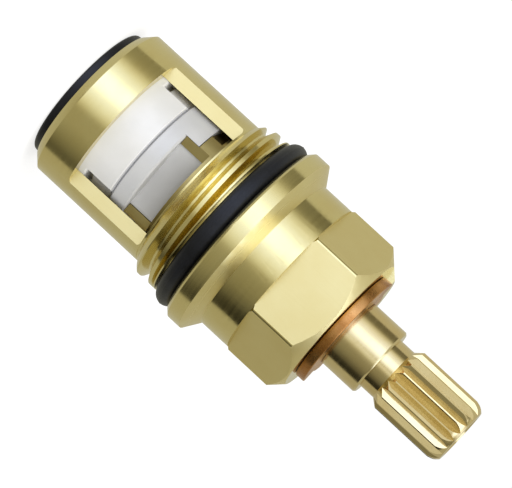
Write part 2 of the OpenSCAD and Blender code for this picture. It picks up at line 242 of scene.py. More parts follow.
def grained(name, tones, patch_mm, grain_mm, grain_depth, smooth, dull, metallic=0.0, ior=1.5, shine=0.5):
    """A material whose tone drifts in patches and whose grain moves its gloss and bump."""
    material = bpy.data.materials.new(name)
    material.use_nodes = True
    tree = material.node_tree
    shader = tree.nodes["Principled BSDF"]
    shader.inputs["Metallic"].default_value = metallic
    shader.inputs["IOR"].default_value = ior
    shader.inputs["Specular IOR Level"].default_value = shine

    place = add(tree, "ShaderNodeTexCoord").outputs["Object"]
    patches = add(tree, "ShaderNodeTexNoise", ("Vector", place),
                  ("Scale", per_size(patch_mm)), ("Detail", 3.0))
    tone = add(tree, "ShaderNodeValToRGB", ("Fac", patches))
    for stop, position, colour in zip(tone.color_ramp.elements, GRAIN_STOPS, tones):
        stop.position = position
        stop.color = linear(colour)
    grain = add(tree, "ShaderNodeTexNoise", ("Vector", place),
                ("Scale", per_size(grain_mm)), ("Detail", 2.0))
    gloss = add(tree, "ShaderNodeMapRange", ("Value", grain), ("From Min", NOISE_LOW),
                ("From Max", NOISE_HIGH), ("To Min", smooth), ("To Max", dull))
    bump = add(tree, "ShaderNodeBump", ("Height", grain), ("Strength", GRAIN_STRENGTH),
               ("Distance", grain_depth * MM))
    tree.links.new(tone.outputs["Color"], shader.inputs["Base Color"])
    tree.links.new(gloss.outputs["Result"], shader.inputs["Roughness"])
    tree.links.new(bump.outputs["Normal"], shader.inputs["Normal"])
    return material


def paint_joint_shade(material, height_mm, half_mm, shade_tone):
    """Paints shade on a thin level band of a material, where two parts meet."""
    tree = material.node_tree
    place = add(tree, "ShaderNodeTexCoord").outputs["Object"]
    axes = add(tree, "ShaderNodeSeparateXYZ", (0, place))
    off_joint = add(tree, "ShaderNodeMath", (0, axes.outputs["Z"]), (1, height_mm * MM),
                    operation="SUBTRACT")
    distance = add(tree, "ShaderNodeMath", (0, off_joint), operation="ABSOLUTE")
    amount = add(tree, "ShaderNodeMapRange", ("Value", distance), ("From Min", JOINT_SHADE_CORE * half_mm * MM),
                 ("From Max", half_mm * MM), ("To Min", 1.0), ("To Max", 0.0))
    colour_socket = tree.nodes["Principled BSDF"].inputs["Base Color"]
    clean = colour_socket.links[0].from_socket
    # The painted shade of the joint is mixed into the base colour here.
    shaded_band = add(tree, "ShaderNodeMix", ("Factor", amount), (MIX_A, clean), (MIX_B, linear(shade_tone)),
                  data_type="RGBA")
    tree.links.new(shaded_band.outputs[MIX_RESULT], colour_socket)


print("recipes ready")

# %% Materials of the small pieces
DISC_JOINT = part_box("fixed_disc")[1].z / MM
JOINT_HALF = 0.14      # half the width of the line between the discs

# Ground alumina: the grain is a few hundredths of a millimetre, drawn coarser so that it shows.
white_alumina = grained("white_alumina_ground", ("#f1f0ed", "#e9e8e4"), 4, 0.15, 0.006,
                        0.32, 0.45, ior=1.76)
# The moving disc is made greyer than the fixed disc, which makes the joint between the discs easy to see.
grey_alumina = grained("grey_alumina_ground", ("#d6d6d5", "#cdcdcd"), 4, 0.15, 0.006,
                       0.32, 0.45, ior=1.76)
# Silicone grease sits in the joint of the two discs and shows as a thin grey line.
# A thin grey line of painted shade marks the joint of the two discs.
for alumina in (white_alumina, grey_alumina):
    paint_joint_shade(alumina, DISC_JOINT, JOINT_HALF, "#bcbcbd")
# Nitrile rubber: blue-black, with a thin bloom that greys it in patches.
nitrile_rubber = grained("nitrile_rubber_moulded", ("#0f1013", "#191a1e"), 3, 0.12, 0.01,
                         0.34, 0.5, ior=1.52, shine=0.28)
# Acetal: white and waxy.
acetal = grained("acetal_moulded", ("#efece3", "#e7e3d8"), 6, 0.2, 0.004, 0.3, 0.42, ior=1.48)
# Phosphor bronze: copper-brown, rolled smooth and then tarnished.
phosphor_bronze = grained("phosphor_bronze_stamped", ("#cd9a5e", "#ad763e"), 2.5, 0.18, 0.006,
                          0.24, 0.4, metallic=1.0)
print("made five more materials")

# %% [markdown]
# ## Copies of the solids
#
# A CAD node must not be changed, but a copy may be. Its mesh is loose triangles, so the copy is
# merged into one skin and its coplanar triangles become whole faces. A bevel then breaks the
# edges, as a maker does with a file: a thin line of light or shade on each edge is what makes
# metal look solid. Blender thins a whole bevel to suit its shortest edge, so only edges with room
# are chosen. A round cutter is an outline turned about the axis, as on a lathe.

# %% Tools for copies
MERGE_DISTANCE = 0.0005 * MM
SAME_PLANE = math.radians(0.4)
SHARP_EDGE = math.radians(32)
SMOOTH_LIMIT = math.radians(24)
EDGE_ROOM = 1.7        # the shortest neighbour of a broken edge, in widths of the bevel
EDGE_SEGMENTS = 4
CUTTER_STEPS = 144


def new_piece(name, mesh):
    """An object at the origin that shows this mesh."""
    piece = bpy.data.objects.new(name, mesh)
    scene.collection.objects.link(piece)
    return piece


def solid_copy(name, node):
    """A copy of a CAD node as one merged skin."""
    skin = bmesh.new()
    skin.from_mesh(nodes[node].data)
    bmesh.ops.remove_doubles(skin, verts=skin.verts, dist=MERGE_DISTANCE)
    bmesh.ops.dissolve_limit(skin, angle_limit=SAME_PLANE, verts=skin.verts, edges=skin.edges)
    mesh = bpy.data.meshes.new(name)
    skin.to_mesh(mesh)
    skin.free()
    for layer in [a for a in mesh.attributes if a.name == "custom_normal"]:
        mesh.attributes.remove(layer)
    return new_piece(name, mesh)


def apply_modifiers(piece):
    """Turns what the modifiers show into the piece's own mesh."""
    depsgraph = bpy.context.evaluated_depsgraph_get()
    mesh = bpy.data.meshes.new_from_object(piece.evaluated_get(depsgraph))
    piece.modifiers.clear()
    piece.data = mesh


def break_edges(piece, width_mm, above_mm=0.0, longer_mm=0.0):
    """Bevels sharp outward edges that have room, are long enough and lie above a height."""
    skin = bmesh.new()
    skin.from_mesh(piece.data)
    layers = skin.edges.layers.float
    weight = layers.get("bevel_weight_edge") or layers.new("bevel_weight_edge")
    count = 0
    for edge in skin.edges:
        sharp = edge.is_manifold and edge.calc_face_angle_signed() > SHARP_EDGE
        near = [other for corner in edge.verts for other in corner.link_edges]
        roomy = min(other.calc_length() for other in near) > EDGE_ROOM * width_mm * MM
        high = min(corner.co.z for corner in edge.verts) > above_mm * MM
        chosen = sharp and roomy and high and edge.calc_length() > longer_mm * MM
        edge[weight] = float(chosen)
        count += chosen
    skin.to_mesh(piece.data)
    skin.free()
    bevel = piece.modifiers.new("broken edges", "BEVEL")
    bevel.width = width_mm * MM
    bevel.segments = EDGE_SEGMENTS
    bevel.limit_method = "WEIGHT"
    apply_modifiers(piece)
    print(piece.name, "has", count, "broken edges")


def cut(piece, cutter):
    """Takes one solid out of another, and removes the cutter."""
    boolean = piece.modifiers.new("cut", "BOOLEAN")
    boolean.operation = "DIFFERENCE"
    boolean.solver = "EXACT"
    boolean.object = cutter
    apply_modifiers(piece)
    bpy.data.objects.remove(cutter)


def turned(name, outline_mm, steps, closed):
    """Turns an outline of (radius, height) points: closed into a ring, or open from axis to axis."""
    skin = bmesh.new()
    corners = [skin.verts.new((r * MM, 0, h * MM)) for r, h in outline_mm]
    next_corners = corners[1:] + corners[:1] if closed else corners[1:]
    for first, second in zip(corners, next_corners):
        skin.edges.new((first, second))
    bmesh.ops.spin(skin, geom=skin.verts[:] + skin.edges[:], cent=(0, 0, 0), axis=(0, 0, 1),
                   angle=math.tau, steps=steps)
    bmesh.ops.remove_doubles(skin, verts=skin.verts, dist=MERGE_DISTANCE)
    bmesh.ops.recalc_face_normals(skin, faces=skin.faces)
    mesh = bpy.data.meshes.new(name)
    skin.to_mesh(mesh)
    skin.free()
    return new_piece(name, mesh)


def smooth(piece):
    """Shades round surfaces smoothly, keeps sharp edges, and lets the large faces lead the shading."""
    mesh = piece.data
    mesh.polygons.foreach_set("use_smooth", [True] * len(mesh.polygons))
    mesh.set_sharp_from_angle(angle=SMOOTH_LIMIT)
    lead = piece.modifiers.new("large faces lead", "WEIGHTED_NORMAL")
    lead.mode = "FACE_AREA"
    lead.keep_sharp = True
    apply_modifiers(piece)


def paint(piece, material):
    """Gives the whole piece one material."""
    piece.data.materials.clear()
    piece.data.materials.append(material)


print("copy tools ready")

# %% [markdown]
# ## Screw threads
#
# A thread is a rule: the radius goes in and out once for each pitch along the axis, and one pitch
# later for each turn. It could be cut with a spun profile, but then the ends are hard to close.
# Here a Geometry Nodes tree rolls a flat grid into a closed collar whose one wall is the thread,
# and that collar is cut out of the solid. The same tree makes the outside thread of the housing
# and the inside thread for the handle screw: only the radius that closes the collar differs.

# %% The thread tree: inputs and grid
thread_tree = bpy.data.node_groups.new("screw thread collar", "GeometryNodeTree")
for label in ("Pitch", "Crest Radius", "Root Radius", "Closing Radius", "Low", "High", "Crest Height"):
    thread_tree.interface.new_socket(name=label, in_out="INPUT", socket_type="NodeSocketFloat")
for label in ("Columns", "Rows"):
    thread_tree.interface.new_socket(name=label, in_out="INPUT", socket_type="NodeSocketInt")
thread_tree.interface.new_socket(name="Material", in_out="INPUT", socket_type="NodeSocketMaterial")
thread_tree.interface.new_socket(name="Collar", in_out="OUTPUT", socket_type="NodeSocketGeometry")

size = add(thread_tree, "NodeGroupInput").outputs
grid_columns = add(thread_tree, "ShaderNodeMath", (0, size["Columns"]), (1, 1.0), operation="ADD")
grid_rows = add(thread_tree, "ShaderNodeMath", (0, size["Rows"]), (1, 3.0), operation="ADD")
grid = add(thread_tree, "GeometryNodeMeshGrid", ("Size X", 1.0), ("Size Y", 1.0),
           ("Vertices X", grid_columns), ("Vertices Y", grid_rows))
sheet_place = add(thread_tree, "ShaderNodeSeparateXYZ", (0, add(thread_tree, "GeometryNodeInputPosition")))
turn_share = add(thread_tree, "ShaderNodeMath", (0, sheet_place.outputs["X"]), (1, 0.5), operation="ADD")
angle = add(thread_tree, "ShaderNodeMath", (0, turn_share), (1, math.tau), operation="MULTIPLY")

# The grid's rows: a closing row at the low end, the thread, a closing row at the high end, and the
# first row again.
row_share = add(thread_tree, "ShaderNodeMath", (0, sheet_place.outputs["Y"]), (1, 0.5), operation="ADD")
last_row = add(thread_tree, "ShaderNodeMath", (0, size["Rows"]), (1, 2.0), operation="ADD")
row = add(thread_tree, "ShaderNodeMath", (0, row_share), (1, last_row), operation="MULTIPLY")
height = add(thread_tree, "ShaderNodeMapRange", ("Value", row), ("From Min", 1.0),
             ("From Max", size["Rows"]), ("To Min", size["Low"]), ("To Max", size["High"]))
before_last = add(thread_tree, "ShaderNodeMath", (0, last_row), (1, 0.5), operation="SUBTRACT")
is_last = add(thread_tree, "ShaderNodeMath", (0, row), (1, before_last), operation="GREATER_THAN")
z = add(thread_tree, "ShaderNodeMix", ("Factor", is_last), ("A", height), ("B", size["Low"]),
        data_type="FLOAT")
past_first = add(thread_tree, "ShaderNodeMath", (0, row), (1, 0.5), operation="GREATER_THAN")
wall_end = add(thread_tree, "ShaderNodeMath", (0, size["Rows"]), (1, 0.5), operation="ADD")
before_end = add(thread_tree, "ShaderNodeMath", (0, row), (1, wall_end), operation="LESS_THAN")
on_wall = add(thread_tree, "ShaderNodeMath", (0, past_first), (1, before_end), operation="MULTIPLY")
print("grid takes", len(thread_tree.nodes), "nodes")

# %% The thread tree: the thread rule
ROOT_FLAT = 0.07     # the root is flat to this share of a pitch from its middle
CREST_FLAT = 0.4     # and the crest starts at this share

# How far each point is from the middle of the groove, in pitches, and the radius that this gives.
above_crest = add(thread_tree, "ShaderNodeMath", (0, z), (1, size["Crest Height"]), operation="SUBTRACT")
pitches = add(thread_tree, "ShaderNodeMath", (0, above_crest), (1, size["Pitch"]), operation="DIVIDE")
unrolled = add(thread_tree, "ShaderNodeMath", (0, pitches), (1, turn_share), operation="SUBTRACT")
phase = add(thread_tree, "ShaderNodeMath", (0, unrolled), operation="FRACT")
centred = add(thread_tree, "ShaderNodeMath", (0, phase), (1, 0.5), operation="SUBTRACT")
from_groove = add(thread_tree, "ShaderNodeMath", (0, centred), operation="ABSOLUTE")
thread_radius = add(thread_tree, "ShaderNodeMapRange", ("Value", from_groove), ("From Min", ROOT_FLAT),
                    ("From Max", CREST_FLAT), ("To Min", size["Root Radius"]),
                    ("To Max", size["Crest Radius"]))
radius = add(thread_tree, "ShaderNodeMix", ("Factor", on_wall), ("A", size["Closing Radius"]),
             ("B", thread_radius), data_type="FLOAT")
cosine = add(thread_tree, "ShaderNodeMath", (0, angle), operation="COSINE")
sine = add(thread_tree, "ShaderNodeMath", (0, angle), operation="SINE")
x = add(thread_tree, "ShaderNodeMath", (0, radius), (1, cosine), operation="MULTIPLY")
y = add(thread_tree, "ShaderNodeMath", (0, radius), (1, sine), operation="MULTIPLY")
place = add(thread_tree, "ShaderNodeCombineXYZ", ("X", x), ("Y", y), ("Z", z))

rolled = add(thread_tree, "GeometryNodeSetPosition", ("Geometry", grid), ("Position", place))
closed = add(thread_tree, "GeometryNodeMergeByDistance", ("Geometry", rolled),
             ("Distance", MERGE_DISTANCE))
real = add(thread_tree, "GeometryNodeRealizeInstances", ("Geometry", closed))
finished = add(thread_tree, "GeometryNodeSetMaterial", ("Geometry", real), ("Material", size["Material"]))
add(thread_tree, "NodeGroupOutput", ("Collar", finished))
print("thread tree has", len(thread_tree.nodes), "nodes")

# %% Shapes made by a tree


def shape_from_tree(name, tree, **sizes):
    """A plain mesh object made by a node tree. Sizes are its inputs, with _ for a space."""
    piece = new_piece(name, bpy.data.meshes.new(name))
    modifier = piece.modifiers.new(name, "NODES")
    modifier.node_group = tree
    for item in tree.interface.items_tree:
        key = item.name.lower().replace(" ", "_")
        if key in sizes:
            modifier[item.identifier] = sizes[key]
    apply_modifiers(piece)
    skin = bmesh.new()
    skin.from_mesh(piece.data)
    bmesh.ops.recalc_face_normals(skin, faces=skin.faces)
    skin.to_mesh(piece.data)
    skin.free()
    return piece


print("tree shapes ready")

# %% [markdown]
# ## Housing
#
# The long corner edges of the hexagon are a little round, so they get a wider bevel than the rest.
# The body thread is G 1/2: 14 threads to the inch, right-handed, drawn with flat crests. The heights
# of its crests follow the photograph. The tool that turned the neck also cut a small cone on the
# lower corners of the hexagon. The flats of the hexagon and the lands of the windows are marked as
# milled, so that the brass shows straight lines there instead of rings.

# %% Break the edges of the housing
HEX_EDGE = 0.2            # width of the bevel on the long corner edges of the hexagon
HEX_EDGE_LENGTH = 4.0     # the edges that get it are longer than this
NECK_TOP = 28.0           # and lie above this height
HOUSING_EDGE = 0.1        # width of the bevel on the other edges

housing = solid_copy("threaded_housing", "housing")
break_edges(housing, HEX_EDGE, above_mm=NECK_TOP, longer_mm=HEX_EDGE_LENGTH)
break_edges(housing, HOUSING_EDGE)

# %% Cut the body thread
THREAD_PITCH = 25.4 / 14
CREST_RADIUS = 10.40
ROOT_RADIUS = 9.33
CREST_HEIGHT = 17.29      # height of a crest on the +X side
THREAD_LOW = 16.1
THREAD_HIGH = 19.55
COLLAR_RADIUS = 12        # outer radius of the collar that is cut away, outside the thread

collar = shape_from_tree(
    "body_thread_collar", thread_tree, pitch=THREAD_PITCH * MM, crest_radius=CREST_RADIUS * MM,
    root_radius=ROOT_RADIUS * MM, closing_radius=COLLAR_RADIUS * MM, low=THREAD_LOW * MM,
    high=THREAD_HIGH * MM, crest_height=CREST_HEIGHT * MM, columns=180, rows=84, material=housing_brass)
cut(housing, collar)
print("faces with the thread:", len(housing.data.polygons))

# %% Turn the lower corners of the hexagon
HEX_LOW = 29.45           # the hexagon starts at this height
NECK_RADIUS = 9.54        # a hair inside the neck, so that the cutter leaves a clean band
NECK_BAND = 0.65          # height of that band
CORNER_CONE = 0.36        # height of the cone on the corners
CORNER_RISE = 0.38        # and how far it leans out

corner_top = HEX_LOW + CORNER_CONE
band_low = HEX_LOW - NECK_BAND
cone_radius = NECK_RADIUS + CORNER_RISE
cut(housing, turned("hexagon_corner_cone", [
    (NECK_RADIUS, band_low), (NECK_RADIUS, HEX_LOW), (cone_radius, corner_top),
    (cone_radius + CORNER_RISE, corner_top), (cone_radius + CORNER_RISE, band_low)],
    CUTTER_STEPS, closed=True))
smooth(housing)
paint(housing, housing_brass)
print("housing faces:", len(housing.data.polygons))

# %% Mark the milled flats
LAND_DISTANCE = 4.75      # of the window's lands from the axis
HEX_HALF = 8.5            # of the hexagon's flats from the axis
FLANGE_LOW = 22.2         # the cones that are dull lie above this height
CONE_DULL = 0.5           # the cone above the flange is half way between a turned and a dull face
UPRIGHT = 0.02            # the normal of an upright face rises less than this
ON_PLANE = 0.02           # how near a face is to its plane
CONE_RISES = (0.3, 0.95)  # the normal of a cone rises between these


def mark_faces(piece):
    """Face attributes: the lands and flats are milled and dull, the cones above the flange dull."""
    milled = piece.data.attributes.new("milled", "FLOAT", "FACE")
    dull = piece.data.attributes.new("dull", "FLOAT", "FACE")
    count = 0
    for face in piece.data.polygons:
        upright = abs(face.normal.z) < UPRIGHT
        distance = abs(face.center.dot(face.normal))
        above_hex_low = face.center.z > HEX_LOW * MM
        on_land = upright and abs(distance - LAND_DISTANCE * MM) < ON_PLANE * MM
        on_hex = upright and abs(distance - HEX_HALF * MM) < ON_PLANE * MM and above_hex_low
        on_cone = CONE_RISES[0] < face.normal.z < CONE_RISES[1] and face.center.z > FLANGE_LOW * MM
        milled.data[face.index].value = on_land or on_hex
        if on_land or on_hex or (on_cone and above_hex_low):
            dull.data[face.index].value = 1.0
        elif on_cone:
            dull.data[face.index].value = CONE_DULL
        count += on_land or on_hex or on_cone
    return count


print("dull faces:", mark_faces(housing))
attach(housing, "housing")
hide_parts("housing")

# %% [markdown]
# ## Spindle
#
# The spindle's end is drilled and tapped M5 for the handle screw. The tapped thread is the same
# collar as before, closed on its inner side. A small countersink leads the screw in. The ends of
# the teeth are turned round, so that the handle slides on. The fork and the foot are marked as
# dull: they were milled, and their darker tone is painted shade.

# %% Tap the spindle
SPINDLE_EDGE = 0.05       # width of its bevels
SPINDLE_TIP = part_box("spindle")[1].z / MM
SCREW_PITCH = 0.8
SCREW_CREST = 2.5
SCREW_ROOT = 2.04
SCREW_DEPTH = 10.2        # of the thread below the tip
TAP_CORE = 1.2            # inner radius of the collar, inside the drilled hole
TAP_OVERRUN = 0.6         # the collar stands this far out of the hole

spindle = solid_copy("splined_spindle", "spindle")
break_edges(spindle, SPINDLE_EDGE)
tap = shape_from_tree(
    "handle_screw_collar", thread_tree, pitch=SCREW_PITCH * MM, crest_radius=SCREW_CREST * MM,
    root_radius=SCREW_ROOT * MM, closing_radius=TAP_CORE * MM, low=(SPINDLE_TIP - SCREW_DEPTH) * MM,
    high=(SPINDLE_TIP + TAP_OVERRUN) * MM, crest_height=SPINDLE_TIP * MM, columns=64, rows=150,
    material=spindle_brass)
cut(spindle, tap)
print("faces with the tapped hole:", len(spindle.data.polygons))

# %% Round the teeth and lead the screw in
SPLINE_RADIUS = 3.85
END_LENGTH = 1.5          # length of the rounding at the ends of the teeth
END_DEPTH = 0.95          # and its depth
RUN_IN, RUN_OUT = 4, 2    # how many steps the cutter runs on as a straight line at its two ends
COUNTERSINK = 0.45        # half its depth, and half what it widens
LEAD_SINK = 0.15          # its middle lies this far below the tip
LEAD_STEPS = 64
FOOT_TOP = 17.9           # the dull fork and foot lie below this height

# The ends of the teeth are turned to a quarter of an ellipse. Its first and last steps run on as
# straight lines, so that the cutter never just touches the solid.
ellipse = []
for degrees in range(20, 61, 10):
    lean = math.radians(degrees)
    ellipse.append(Vector((SPLINE_RADIUS - END_DEPTH * (1 - math.cos(lean)),
                           SPINDLE_TIP - END_LENGTH * (1 - math.sin(lean)))))
first_point = ellipse[0] + RUN_IN * (ellipse[0] - ellipse[1])
last_point = ellipse[-1] + RUN_OUT * (ellipse[-1] - ellipse[-2])
outer = SPLINE_RADIUS + END_DEPTH
cut(spindle, turned("spline_end", [
    first_point, *ellipse, last_point, (outer, last_point.y), (outer, first_point.y)],
    CUTTER_STEPS, closed=True))

lead_in = bmesh.new()
bmesh.ops.create_cone(
    lead_in, cap_ends=True, segments=LEAD_STEPS, radius1=(SCREW_CREST - COUNTERSINK) * MM,
    radius2=(SCREW_CREST + COUNTERSINK) * MM, depth=2 * COUNTERSINK * MM,
    matrix=Matrix.Translation((0, 0, SPINDLE_TIP * MM - LEAD_SINK * MM)))
lead_mesh = bpy.data.meshes.new("countersink")
lead_in.to_mesh(lead_mesh)
lead_in.free()
cut(spindle, new_piece("countersink", lead_mesh))
smooth(spindle)
paint(spindle, spindle_brass)
# The fork and the foot get the dull faces, whose darker tone is painted shade.
dull = spindle.data.attributes.new("dull", "FLOAT", "FACE")
dull.data.foreach_set("value", [float(face.center.z < FOOT_TOP * MM) for face in spindle.data.polygons])
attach(spindle, "spindle")
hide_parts("spindle")
print("spindle faces:", len(spindle.data.polygons))

# %% [markdown]
# ## Body seal ring
#
# A seal ring is a round section swept along a circle. A torus primitive would do, but a moulded
# ring has a thin ridge where the two halves of its mould met. The tree sweeps the section along
# the circle and then lifts the points on the middle line by the height of that ridge.

# %% The seal ring tree
RING_STEPS = 160
SECTION_STEPS = 48
ON_RIDGE = 0.02           # points this near to the middle line are lifted

ring_tree = bpy.data.node_groups.new("moulded seal ring", "GeometryNodeTree")
for label in ("Middle Radius", "Section Radius", "Height", "Ridge"):
    ring_tree.interface.new_socket(name=label, in_out="INPUT", socket_type="NodeSocketFloat")
ring_tree.interface.new_socket(name="Material", in_out="INPUT", socket_type="NodeSocketMaterial")
ring_tree.interface.new_socket(name="Ring", in_out="OUTPUT", socket_type="NodeSocketGeometry")

size = add(ring_tree, "NodeGroupInput").outputs
path = add(ring_tree, "GeometryNodeCurvePrimitiveCircle", ("Resolution", RING_STEPS),
           ("Radius", size["Middle Radius"]))
section = add(ring_tree, "GeometryNodeCurvePrimitiveCircle", ("Resolution", SECTION_STEPS),
              ("Radius", size["Section Radius"]))
tube = add(ring_tree, "GeometryNodeCurveToMesh", ("Curve", path), ("Profile Curve", section))
spot = add(ring_tree, "GeometryNodeInputPosition")
axes = add(ring_tree, "ShaderNodeSeparateXYZ", (0, spot))
outward = add(ring_tree, "ShaderNodeCombineXYZ", ("X", axes.outputs["X"]), ("Y", axes.outputs["Y"]))
unit = add(ring_tree, "ShaderNodeVectorMath", (0, outward), operation="NORMALIZE")
distance = add(ring_tree, "ShaderNodeVectorMath", (0, outward), operation="LENGTH").outputs["Value"]
past_middle = add(ring_tree, "ShaderNodeMath", (0, distance), (1, size["Middle Radius"]),
                  operation="GREATER_THAN")
off_line = add(ring_tree, "ShaderNodeMath", (0, axes.outputs["Z"]), operation="ABSOLUTE")
near_line = add(ring_tree, "ShaderNodeMath", (0, off_line), (1, ON_RIDGE * MM), operation="LESS_THAN")
on_ridge = add(ring_tree, "ShaderNodeMath", (0, past_middle), (1, near_line), operation="MULTIPLY")
lift = add(ring_tree, "ShaderNodeMath", (0, on_ridge), (1, size["Ridge"]), operation="MULTIPLY")
push = add(ring_tree, "ShaderNodeVectorMath", (0, unit), ("Scale", lift), operation="SCALE")
raise_by = add(ring_tree, "ShaderNodeCombineXYZ", ("Z", size["Height"]))
offset = add(ring_tree, "ShaderNodeVectorMath", (0, push), (1, raise_by), operation="ADD")
lifted = add(ring_tree, "GeometryNodeSetPosition", ("Geometry", tube), ("Offset", offset))
real = add(ring_tree, "GeometryNodeRealizeInstances", ("Geometry", lifted))
finished = add(ring_tree, "GeometryNodeSetMaterial", ("Geometry", real), ("Material", size["Material"]))
add(ring_tree, "NodeGroupOutput", ("Ring", finished))
print("ring tree has", len(ring_tree.nodes), "nodes")

# %% Make the body seal ring
RIDGE_HEIGHT = 0.03

ring_low, ring_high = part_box("body_oring")
section_radius = (ring_high.z - ring_low.z) / 2
body_ring = shape_from_tree(
    "moulded_body_ring", ring_tree, middle_radius=ring_high.x - section_radius,
    section_radius=section_radius, height=(ring_high.z + ring_low.z) / 2, ridge=RIDGE_HEIGHT * MM,
    material=nitrile_rubber)
smooth(body_ring)
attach(body_ring, "housing")
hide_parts("body_oring")
print("seal ring faces:", len(body_ring.data.polygons))

# %% [markdown]
# ## Clip, discs and the hidden rings
#
# The clip was stamped from strip, so its edges are rolled over: a wider bevel gives that. The
# discs, the base seal and the inner rings keep their CAD shape and get their material.

# %% Finish the other pieces
CLIP_EDGE = 0.16          # width of the bevel on the clip

clip = solid_copy("stamped_clip", "retaining_clip")
break_edges(clip, CLIP_EDGE)
smooth(clip)
paint(clip, phosphor_bronze)
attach(clip, "spindle")
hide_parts("retaining_clip")

finishes = {
    "moving_disc": grey_alumina,
    "fixed_disc": white_alumina,
    "base_seal": nitrile_rubber,
    "spindle_oring_lower": nitrile_rubber,
    "spindle_oring_upper": nitrile_rubber,
    "seal_support_ring": acetal,
    "friction_washer": acetal,
}
for node, material in finishes.items():
    for slot in nodes[node].material_slots:
        slot.material = material
print("finished", len(finishes) + 1, "more pieces")

# %% [markdown]
# ## Floor and background
#
# The photograph has a plain white ground. The floor is a pale diffuse sheet, so that it takes the
# shadow of the part. To the camera it also glows a little, which lifts it to white without putting
# more light on the part. Metal shows the tent of the next step instead of the floor.

# %% Floor and world
FLOOR_HALF = 12.0         # in metres
FLOOR_GLOW = 1.4
GLOW_SHARE = 0.5          # share of the glow in the floor's shader
WORLD_LIGHT = 0.7


def seen_directly(tree):
    """1 for camera, glossy and transmission rays, 0 for diffuse rays."""
    path = add(tree, "ShaderNodeLightPath").outputs
    mirrored = add(tree, "ShaderNodeMath", (0, path["Is Camera Ray"]), (1, path["Is Glossy Ray"]),
                   operation="MAXIMUM")
    return add(tree, "ShaderNodeMath", (0, mirrored), (1, path["Is Transmission Ray"]), operation="MAXIMUM")


floor_material = bpy.data.materials.new("pale_floor")
floor_material.use_nodes = True
tree = floor_material.node_tree
tree.nodes.clear()
sheet = add(tree, "ShaderNodeBsdfDiffuse", ("Color", linear("#f2f2f2")))
seen = add(tree, "ShaderNodeMath", (0, seen_directly(tree)), (1, FLOOR_GLOW), operation="MULTIPLY")
glow = add(tree, "ShaderNodeEmission", ("Color", linear("#ffffff")), ("Strength", seen))
glow_part = add(tree, "ShaderNodeMixShader", (0, GLOW_SHARE), (1, sheet), (2, glow))
add(tree, "ShaderNodeOutputMaterial", ("Surface", glow_part))

floor_mesh = bpy.data.meshes.new("floor")
corners = [(-1, -1), (1, -1), (1, 1), (-1, 1)]
floor_mesh.from_pydata([(FLOOR_HALF * a, FLOOR_HALF * b, 0) for a, b in corners], [], [(0, 1, 2, 3)])
floor = new_piece("floor", floor_mesh)
paint(floor, floor_material)
floor.visible_glossy = False

world = bpy.data.worlds.new("pale_room")
world.use_nodes = True
scene.world = world
tree = world.node_tree
level = add(tree, "ShaderNodeMapRange", ("Value", seen_directly(tree)), ("To Min", WORLD_LIGHT),
            ("To Max", 1.0))
tree.links.new(level.outputs["Result"], tree.nodes["Background"].inputs["Strength"])
tree.nodes["Background"].inputs["Color"].default_value = linear("#ffffff")
print("floor and world ready")

# %% [markdown]
# ## Light
#
# Bright metal shows its surroundings, so it is lit by what stands round it. A photographer puts a
# tent of paper over such a part: bright where the lamp is and overhead, grey behind, with a dark
# card on each side, an opening for the lens and a pale table underneath. The tent here is a closed
# sleeve with a round top that only reflections can see. Its dim paper is warm and its bright paper
# cool, which makes the brass golden in the shade and nearly white in the light. The dark cards draw
# the shape of each turned step. Two lamps light the ceramic, the rubber and the floor.

# %% The tent's paper: the key side
TENT_RADIUS = 200         # in mm
TENT_WALL = 200           # height of the sleeve above and below the origin
KEY_SIDE = Vector((-0.352, -0.755, 0.554)).normalized()
TENT_PEAK = 3.1           # a colour ramp holds 0 to 1, so the levels are divided by this
# Level of the paper for each cosine of the angle to the key side.
TENT_LEVELS = [(-0.31, 0.05), (-0.12, 0.09), (0.05, 0.17), (0.21, 0.26), (0.38, 0.33), (0.48, 0.36),
               (0.55, 0.43), (0.6, 0.53), (0.67, 0.98), (0.75, 1.5), (0.8, 1.9), (0.825, 2.7), (1.0, 3.1)]

tent_material = bpy.data.materials.new("paper_tent")
tent_material.use_nodes = True
tree = tent_material.node_tree
tree.nodes.clear()
place = add(tree, "ShaderNodeTexCoord").outputs["Object"]
axes = add(tree, "ShaderNodeSeparateXYZ", (0, place))
above_wall = add(tree, "ShaderNodeMath", (0, axes.outputs["Z"]), (1, TENT_WALL * MM), operation="SUBTRACT")
rise = add(tree, "ShaderNodeMath", (0, above_wall), (1, 0.0), operation="MAXIMUM")
spoke = add(tree, "ShaderNodeCombineXYZ", ("X", axes.outputs["X"]), ("Y", axes.outputs["Y"]), ("Z", rise))
direction = add(tree, "ShaderNodeVectorMath", (0, spoke), operation="NORMALIZE")
facing = add(tree, "ShaderNodeSeparateXYZ", (0, direction))
to_key = add(tree, "ShaderNodeVectorMath", (0, direction), (1, KEY_SIDE), operation="DOT_PRODUCT")
key_share = add(tree, "ShaderNodeMapRange", ("Value", to_key.outputs["Value"]), ("From Min", -1.0))
key_light = add(tree, "ShaderNodeValToRGB", ("Fac", key_share))
stops = key_light.color_ramp.elements
while len(stops) < len(TENT_LEVELS):
    stops.new(0.5)
for stop, (cosine_to_key, paper_level) in zip(stops, TENT_LEVELS):
    stop.position = (cosine_to_key + 1) / 2
    stop.color = [paper_level / TENT_PEAK] * 3 + [1.0]
open_level = add(tree, "ShaderNodeMath", (0, key_light), (1, TENT_PEAK), operation="MULTIPLY")
print("key side has", len(stops), "levels")

